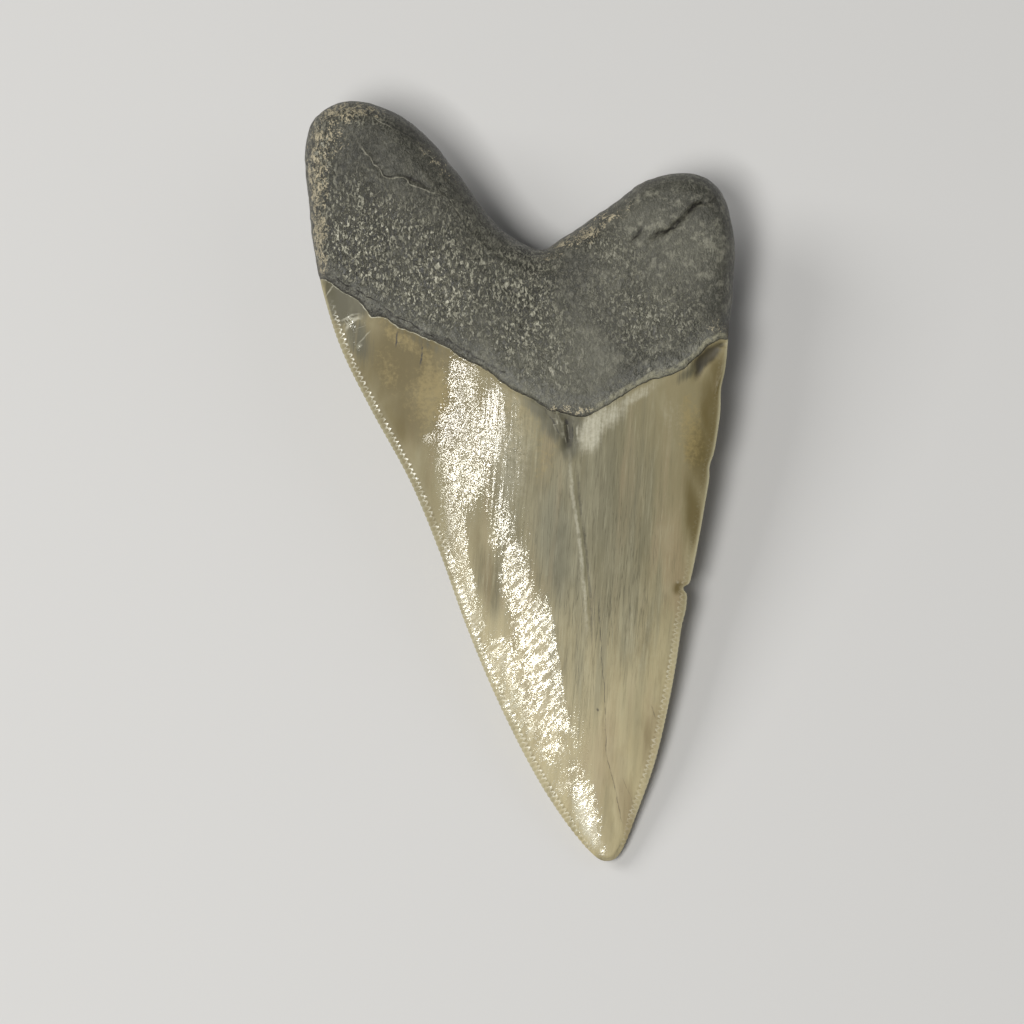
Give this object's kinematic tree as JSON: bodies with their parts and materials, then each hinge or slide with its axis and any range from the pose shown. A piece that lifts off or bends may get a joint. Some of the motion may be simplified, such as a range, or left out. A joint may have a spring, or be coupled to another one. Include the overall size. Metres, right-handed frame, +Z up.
{
  "type": "fossil shark tooth",
  "caption": "Large triangular fossil shark tooth with a two-lobed dark root, a glossy olive enamel crown and finely serrated cutting edges, lying on its convex face.",
  "frame": {"origin": "bottom centre of the tooth's box, on the surface it lies on", "axes": "+Y from the tip towards the root lobes, +X across the tooth with the taller root lobe on the -X side, +Z up out of the flat lip-side face"},
  "size_m": [0.0648, 0.1128, 0.0261],
  "materials": {
    "fossil": "satin grey-brown root, glossy olive-khaki enamel"
  },
  "bodies": {
    "root": {"tooth": "fossil"}
  },
  "joints": []
}
